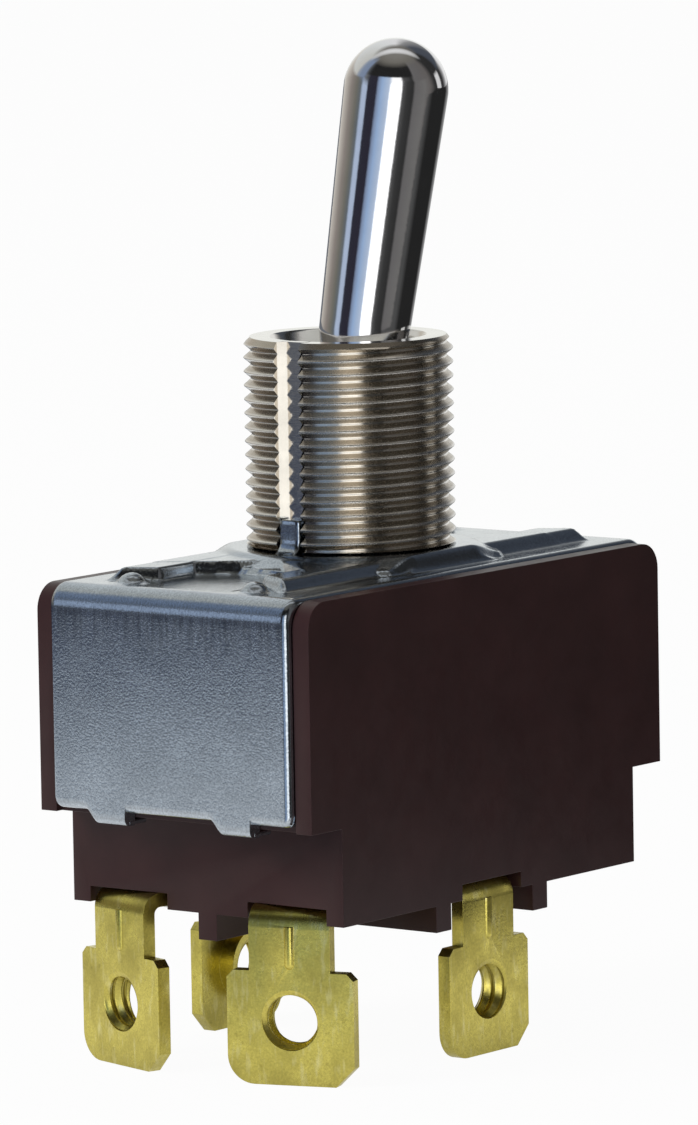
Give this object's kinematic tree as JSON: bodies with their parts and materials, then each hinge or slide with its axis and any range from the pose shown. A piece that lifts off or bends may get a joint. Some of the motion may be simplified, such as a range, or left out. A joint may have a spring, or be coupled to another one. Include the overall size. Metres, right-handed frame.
{
  "type": "panel toggle switch",
  "caption": "Bat-lever panel toggle switch: threaded keyed bushing, folded steel frame, moulded body, screw terminals, rocking contacts inside.",
  "frame": {"origin": "centre of the bushing in the plane that the panel bears on, the top of the steel frame's raised ring", "axes": "+Z out along the bushing, +X along the body towards the end the lever leans to at rest, +Y across the body"},
  "size_m": [0.0342, 0.0192, 0.0569],
  "materials": {
    "phenolic": "satin moulded phenolic",
    "zinc_steel": "bright zinc plating with a blue cast",
    "nickel": "nickel plated brass",
    "chrome": "polished chrome plate",
    "steel": "plain steel",
    "black_moulding": "moulded",
    "nylon": "natural nylon",
    "copper": "rolled copper alloy",
    "silver": "silver contact facing",
    "brass": "rolled brass, lightly tarnished",
    "fibre": "vulcanised fibre sheet"
  },
  "bodies": {
    "base": {"housing": "phenolic", "steel_frame": "zinc_steel", "insulator": "fibre", "bushing": "nickel", "cradle_left": "brass", "cradle_right": "brass", "cradle_rivets": "copper", "fixed_contact_left": "copper", "fixed_contact_right": "copper", "end_terminal_left": "brass", "end_terminal_right": "brass", "centre_terminal_left": "brass", "centre_terminal_right": "brass"},
    "lever": {"lever": "chrome", "lever_pin": "steel", "actuator": "black_moulding", "spring_left": "steel", "spring_right": "steel"},
    "plunger_left": {"plunger_left": "nylon"},
    "plunger_right": {"plunger_right": "nylon"},
    "rocker_left": {"rocker_left": "copper", "moving_contact_left": "silver"},
    "rocker_right": {"rocker_right": "copper", "moving_contact_right": "silver"}
  },
  "joints": [
    {"name": "lever_throw", "type": "hinge", "parent": "base", "child": "lever", "pos_m": [0, 0, 0.00575], "axis": [0, 1, 0], "range_deg": [-28, 0]},
    {"name": "rocker_left_tip", "type": "hinge", "parent": "base", "child": "rocker_left", "pos_m": [0, 0.00475, -0.0149], "axis": [0, 1, 0], "range_deg": [0, 7]},
    {"name": "rocker_right_tip", "type": "hinge", "parent": "base", "child": "rocker_right", "pos_m": [0, -0.00475, -0.0149], "axis": [0, 1, 0], "range_deg": [0, 7]},
    {"name": "plunger_left_travel", "type": "slide", "parent": "lever", "child": "plunger_left", "axis": [0.2419, 0, 0.9703], "range_m": [0, 0.0005], "stiffness_N_per_m": 400, "deforming": ["spring_left"]},
    {"name": "plunger_right_travel", "type": "slide", "parent": "lever", "child": "plunger_right", "axis": [0.2419, 0, 0.9703], "range_m": [0, 0.0005], "stiffness_N_per_m": 400, "deforming": ["spring_right"]}
  ],
  "couplings": [
    {"joint": "rocker_left_tip", "follows": "lever_throw", "ratio": -0.25},
    {"joint": "rocker_right_tip", "follows": "lever_throw", "ratio": -0.25}
  ]
}
